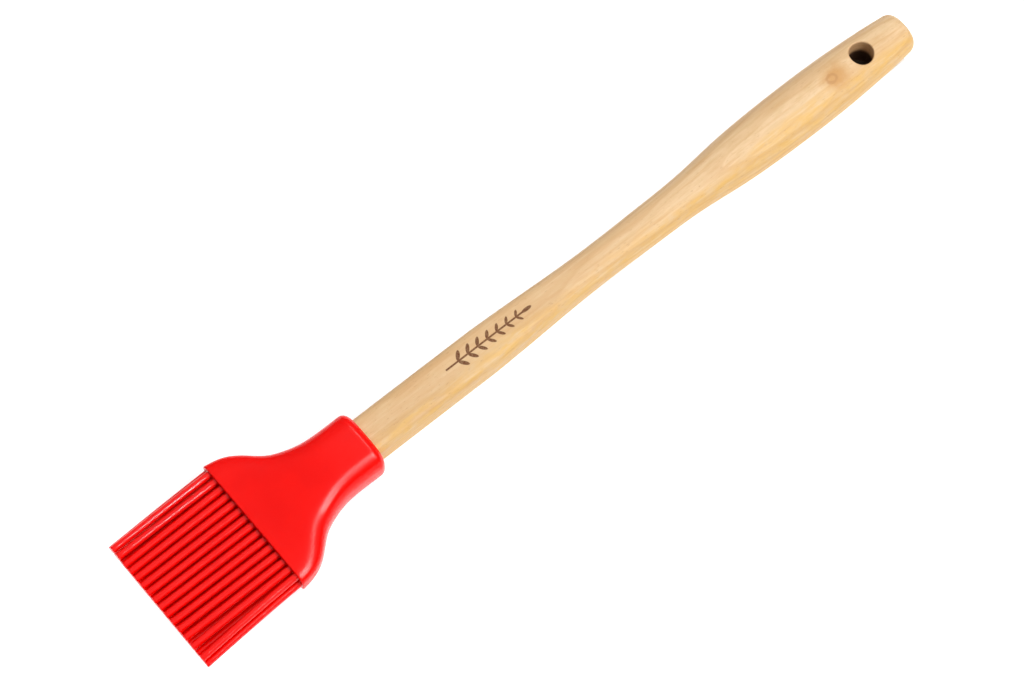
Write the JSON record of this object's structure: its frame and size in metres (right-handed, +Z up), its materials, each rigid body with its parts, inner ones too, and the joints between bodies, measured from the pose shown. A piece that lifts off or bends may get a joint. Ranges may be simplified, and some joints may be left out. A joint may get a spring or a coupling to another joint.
{
  "type": "pastry brush",
  "caption": "Pastry and basting brush: a waisted wooden handle with a hanging hole and a pull-off moulded silicone head whose rows of bristles bend.",
  "frame": {"origin": "under the middle of the brush's length, on the surface that it lies on", "axes": "+Y along the brush towards the butt of the handle, X across the brush, +Z up out of its flat side"},
  "size_m": [0.0494, 0.3044, 0.0172],
  "materials": {
    "handle_wood": "smooth, lightly oiled pale hardwood",
    "head_silicone": "glossy moulded silicone"
  },
  "bodies": {
    "handle": {"handle": "handle_wood"},
    "head": {"head_collar": "head_silicone"},
    "bristle_row_1": {"bristle_row_1": "head_silicone"},
    "bristle_row_2": {"bristle_row_2": "head_silicone"},
    "bristle_row_3": {"bristle_row_3": "head_silicone"}
  },
  "joints": [
    {"name": "head_pull_off", "type": "slide", "parent": "handle", "child": "head", "axis": [0, -1, 0], "range_m": [0, 0.045]},
    {"name": "bristle_row_1_bend", "type": "hinge", "parent": "head", "child": "bristle_row_1", "pos_m": [0, -0.11435, 0.01124], "axis": [1, 0, 0], "range_deg": [-25, 25], "stiffness_Nm_per_rad": 0.008},
    {"name": "bristle_row_2_bend", "type": "hinge", "parent": "head", "child": "bristle_row_2", "pos_m": [0, -0.11435, 0.0086], "axis": [1, 0, 0], "range_deg": [-25, 25], "stiffness_Nm_per_rad": 0.008},
    {"name": "bristle_row_3_bend", "type": "hinge", "parent": "head", "child": "bristle_row_3", "pos_m": [0, -0.11435, 0.00596], "axis": [1, 0, 0], "range_deg": [-25, 25], "stiffness_Nm_per_rad": 0.008}
  ],
  "couplings": [
    {"joint": "bristle_row_2_bend", "follows": "bristle_row_1_bend", "ratio": 1},
    {"joint": "bristle_row_3_bend", "follows": "bristle_row_1_bend", "ratio": 1}
  ]
}
